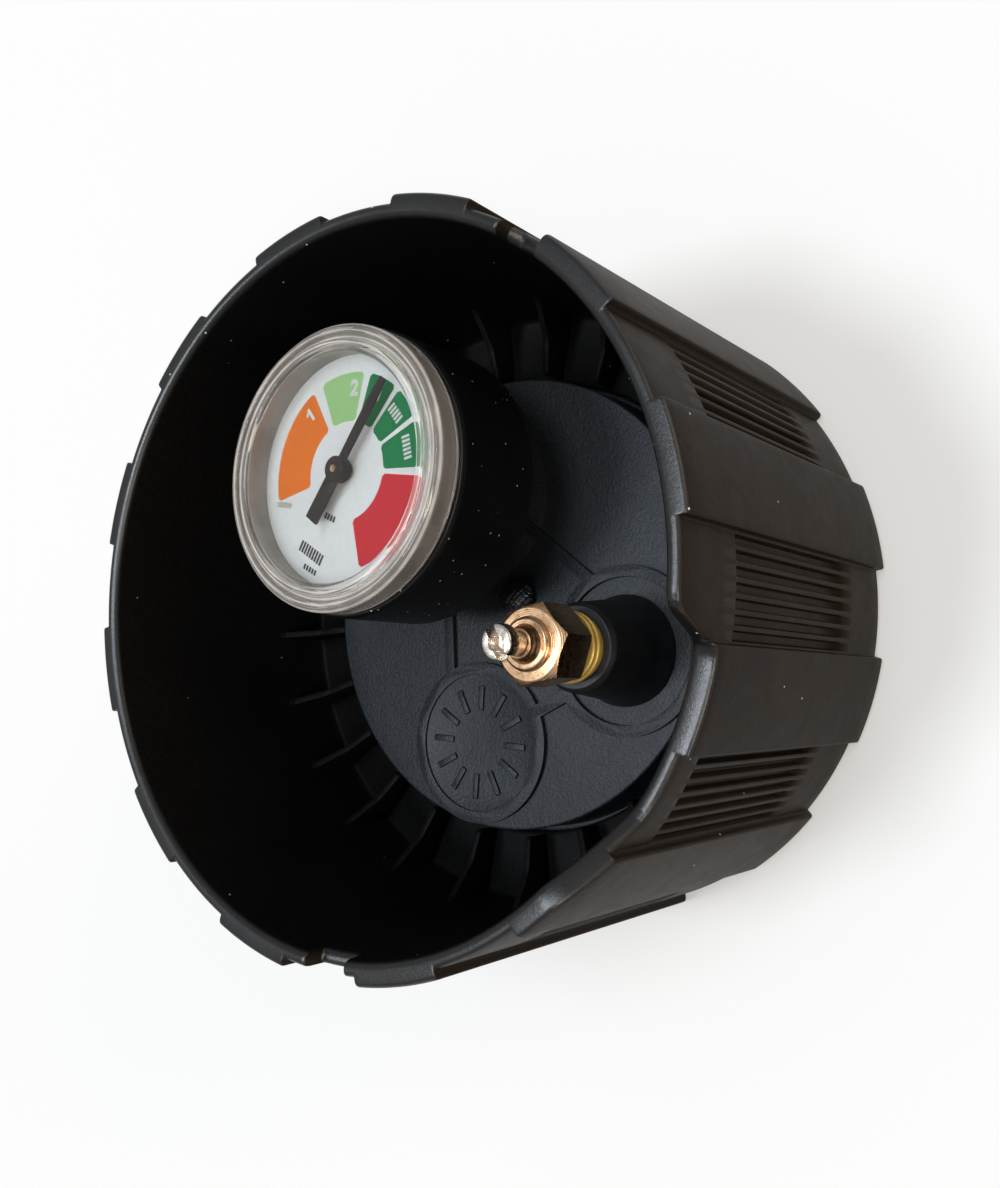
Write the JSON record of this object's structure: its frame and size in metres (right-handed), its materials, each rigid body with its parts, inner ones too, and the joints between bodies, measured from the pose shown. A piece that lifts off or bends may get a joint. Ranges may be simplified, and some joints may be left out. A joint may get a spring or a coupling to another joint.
{
  "type": "ball pressuriser cap",
  "caption": "Ribbed black screw collar turning round an inner lid that carries a dial pressure gauge and a tyre-type valve under a hexagonal metal cap.",
  "frame": {"origin": "centre of the collar's bottom edge", "axes": "+Z along the collar's axis, out of the cup's open mouth; +X towards the gauge's side"},
  "size_m": [0.1024, 0.1024, 0.065],
  "materials": {
    "black_plastic": "satin, lightly textured",
    "lid_plastic": "fine spark texture",
    "black_rubber": "matt",
    "case_plastic": "satin moulded",
    "lens": "clear moulded plastic",
    "dial": "printed white",
    "pointer_paint": "matt black",
    "brass": "turned",
    "steel": "bright",
    "nickel": "nickel plated"
  },
  "bodies": {
    "collar": {"grip_collar": "black_plastic"},
    "lid": {"inner_lid": "lid_plastic", "lid_gasket": "black_rubber", "foot_sealant": "black_rubber", "gauge_case": "case_plastic", "gauge_lens": "lens", "dial_plate": "dial", "dial_stop_pin": "brass", "gauge_socket": "brass", "gauge_washer": "black_rubber", "gauge_nut": "brass", "case_screws": "steel", "bourdon_tube": "brass", "tube_tip_block": "brass", "movement_back_plate": "brass", "movement_front_plate": "brass", "movement_pillars": "brass", "movement_screws": "steel", "hairspring": "steel", "valve_rubber": "black_rubber", "valve_stem": "brass", "core_barrel": "brass", "core_spring": "steel"},
    "sector": {"sector_gear": "brass", "sector_arbor": "steel", "link_pin": "brass"},
    "link": {"link_bar": "brass"},
    "pointer": {"pointer": "pointer_paint", "pinion_shaft": "brass"},
    "core": {"core_pin": "brass", "core_seal": "black_rubber"},
    "cap_pad": {"cap_seal": "black_rubber"},
    "cap": {"valve_cap": "brass", "core_key_tip": "nickel"}
  },
  "joints": [
    {"name": "lid_turn", "type": "hinge", "parent": "collar", "child": "lid", "pos_m": [0, 0, 0.018], "axis": [0, 0, 1], "continuous": true},
    {"name": "sector_swing", "type": "hinge", "parent": "lid", "child": "sector", "pos_m": [0.00623, 0.00496, 0.049], "axis": [0, 0, 1], "range_deg": [-17.1, 16.5]},
    {"name": "pointer_turn", "type": "hinge", "parent": "lid", "child": "pointer", "pos_m": [0.0165, 0.0083, 0.057], "axis": [0, 0, 1], "range_deg": [-132, 136.8]},
    {"name": "link_swing", "type": "hinge", "parent": "sector", "child": "link", "pos_m": [0.00195, 0.00357, 0.05], "axis": [0, 0, 1], "range_deg": [-16.5, 17.1]},
    {"name": "core_press", "type": "slide", "parent": "lid", "child": "core", "axis": [0, 0, -1], "range_m": [0, 0.0015], "stiffness_N_per_m": 1500, "deforming": ["core_spring"]},
    {"name": "cap_lift", "type": "slide", "parent": "lid", "child": "cap_pad", "axis": [0, 0, 1], "range_m": [0, 0.00476]},
    {"name": "cap_turn", "type": "hinge", "parent": "cap_pad", "child": "cap", "pos_m": [-0.0066, -0.0223, 0.045], "axis": [0, 0, 1], "range_deg": [0, 2160]}
  ],
  "couplings": [
    {"joint": "pointer_turn", "follows": "sector_swing", "ratio": -8},
    {"joint": "link_swing", "follows": "sector_swing", "ratio": -1},
    {"joint": "cap_lift", "follows": "cap_turn", "m_per_rad": 0.00012637}
  ]
}
